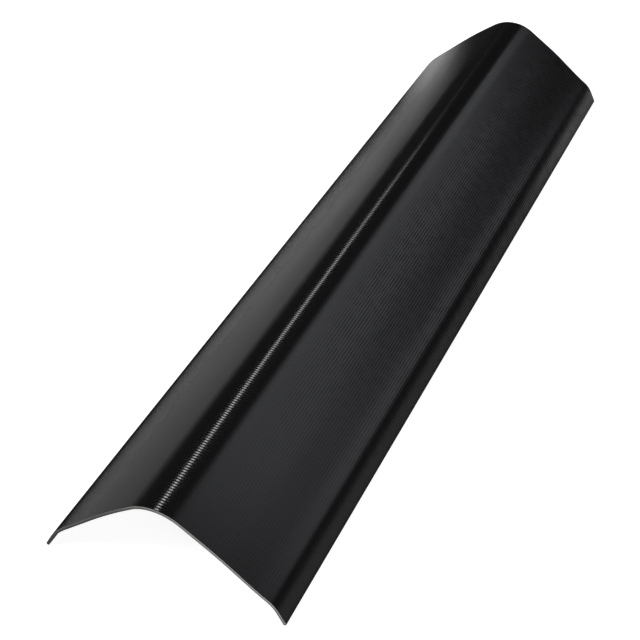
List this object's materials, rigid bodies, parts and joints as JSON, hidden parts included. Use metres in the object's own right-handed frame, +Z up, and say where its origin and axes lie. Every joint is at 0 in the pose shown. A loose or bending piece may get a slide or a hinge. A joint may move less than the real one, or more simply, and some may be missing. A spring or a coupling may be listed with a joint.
{
  "type": "verge flashing",
  "caption": "Straight black sheet flashing with a rounded ridge, flat flanges either side and turned-down lips, made to cap and seal the sloping edge of a roof.",
  "frame": {"origin": "middle of the footprint, on the floor that both lips stand on", "axes": "+Y along the length, +X across towards the narrow flange, +Z up from the floor to the ridge"},
  "size_m": [0.2682, 1, 0.1079],
  "materials": {
    "black_sheet": "satin black with a fine mesh grain"
  },
  "bodies": {
    "root": {"verge_flashing": "black_sheet"}
  },
  "joints": []
}
